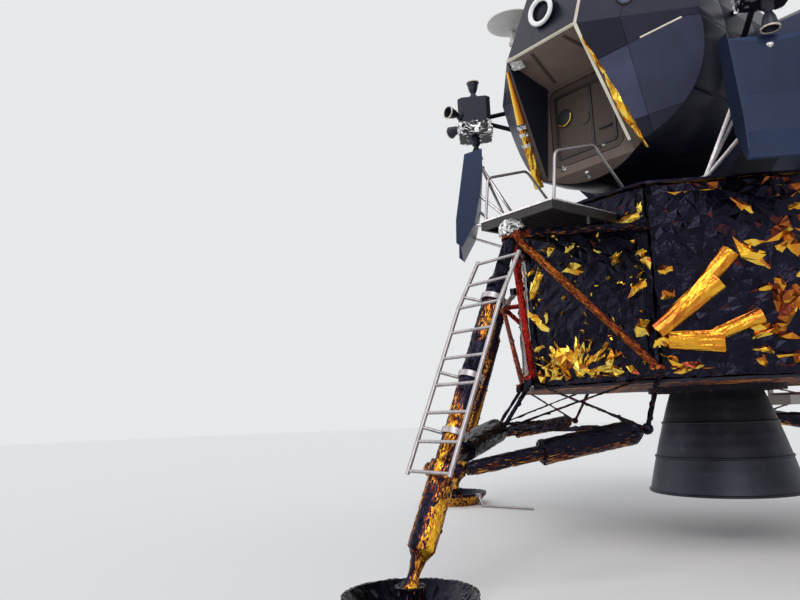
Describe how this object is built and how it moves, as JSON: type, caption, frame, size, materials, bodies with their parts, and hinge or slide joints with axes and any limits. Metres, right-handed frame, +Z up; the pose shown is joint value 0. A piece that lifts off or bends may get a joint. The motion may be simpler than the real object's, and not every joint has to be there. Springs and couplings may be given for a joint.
{
  "type": "lunar module",
  "caption": "Full-size lunar module on its four pads, with a foil-wrapped descent stage, front ladder, porch and dark ascent stage.",
  "frame": {"origin": "on the ground under the centre of the module, midway between the four pads", "axes": "+Z up, the ladder and hatch face -Y, port is +X and starboard is -X"},
  "size_m": [9.424, 9.424, 6.985],
  "materials": {
    "amber_foil": "glossy",
    "black_skin": "satin",
    "bare_metal": "satin",
    "dish_white": "satin",
    "window_glass": "glossy",
    "nozzle_metal": "satin"
  },
  "bodies": {
    "module": {"aft_bay": "black_skin", "antenna_mast": "bare_metal", "base_shield": "black_skin", "cabin_floor": "bare_metal", "contact_probes": "bare_metal", "crew_cabin": "black_skin", "descent_deck": "black_skin", "descent_structure": "amber_foil", "docking_tunnel": "black_skin", "footpad_aft": "amber_foil", "footpad_front": "amber_foil", "footpad_port": "amber_foil", "footpad_starboard": "amber_foil", "fuel_cask": "bare_metal", "gimbal_mounts": "bare_metal", "interstage_feet": "bare_metal", "ladder": "bare_metal", "landing_radar_bracket": "bare_metal", "midsection": "black_skin", "outrigger_aft": "amber_foil", "outrigger_front": "amber_foil", "outrigger_port": "amber_foil", "outrigger_starboard": "amber_foil", "pallet_bay": "amber_foil", "plume_deflectors": "black_skin", "porch": "bare_metal", "porch_handrails": "bare_metal", "port_tank_bay": "black_skin", "primary_strut_aft": "amber_foil", "primary_strut_front": "amber_foil", "primary_strut_port": "amber_foil", "primary_strut_starboard": "amber_foil", "quad_bays": "amber_foil", "radar_mount": "bare_metal", "secondary_struts_aft": "amber_foil", "secondary_struts_front": "amber_foil", "secondary_struts_port": "amber_foil", "secondary_struts_starboard": "amber_foil", "starboard_tank_bay": "black_skin", "steerable_boom": "bare_metal", "thrusters_port_aft": "bare_metal", "thrusters_port_front": "bare_metal", "thrusters_starboard_aft": "bare_metal", "thrusters_starboard_front": "bare_metal", "tracking_light": "dish_white", "vhf_antennas": "bare_metal", "window_panes": "window_glass"},
    "tool_pallet": {"tool_pallet": "black_skin"},
    "gimbal_ring": {"gimbal_ring": "bare_metal"},
    "descent_engine": {"engine_chamber": "bare_metal", "engine_bell": "nozzle_metal"},
    "forward_hatch": {"forward_hatch": "bare_metal"},
    "radar_yoke": {"radar_yoke": "bare_metal"},
    "radar_dish": {"radar_dish": "dish_white"},
    "steerable_yoke": {"steerable_yoke": "bare_metal"},
    "steerable_dish": {"steerable_dish": "dish_white"},
    "landing_radar": {"landing_radar": "dish_white"}
  },
  "joints": [
    {"name": "tool_pallet_hinge", "type": "hinge", "parent": "module", "child": "tool_pallet", "pos_m": [-1.39417, -1.39417, 1.76], "axis": [0.7071, -0.7071, 0], "range_deg": [0, 95]},
    {"name": "gimbal_pitch", "type": "hinge", "parent": "module", "child": "gimbal_ring", "pos_m": [0, 0, 2.16], "axis": [1, 0, 0], "range_deg": [-6, 6]},
    {"name": "gimbal_roll", "type": "hinge", "parent": "gimbal_ring", "child": "descent_engine", "pos_m": [0, 0, 2.16], "axis": [0, 1, 0], "range_deg": [-6, 6]},
    {"name": "hatch_hinge", "type": "hinge", "parent": "module", "child": "forward_hatch", "pos_m": [-0.426, -1.812, 4.15], "axis": [0, 0, 1], "range_deg": [0, 85]},
    {"name": "radar_shaft", "type": "hinge", "parent": "module", "child": "radar_yoke", "pos_m": [0, -1.6, 6.35], "axis": [1, 0, 0], "range_deg": [-155, 20]},
    {"name": "radar_trunnion", "type": "hinge", "parent": "radar_yoke", "child": "radar_dish", "pos_m": [0, -1.8, 6.35], "axis": [0, 0, 1], "range_deg": [-70, 70]},
    {"name": "steerable_shaft", "type": "hinge", "parent": "module", "child": "steerable_yoke", "pos_m": [-1.48, -0.8, 6.1], "axis": [1, 0, 0], "range_deg": [-75, 180]},
    {"name": "steerable_pin", "type": "hinge", "parent": "steerable_yoke", "child": "steerable_dish", "pos_m": [-1.7805, -0.8, 6.1], "axis": [0, 1, 0], "range_deg": [-90, 25]},
    {"name": "landing_radar_tilt", "type": "hinge", "parent": "module", "child": "landing_radar", "pos_m": [0, 1.8, 1.44], "axis": [1, 0, 0], "range_deg": [0, 24]}
  ]
}
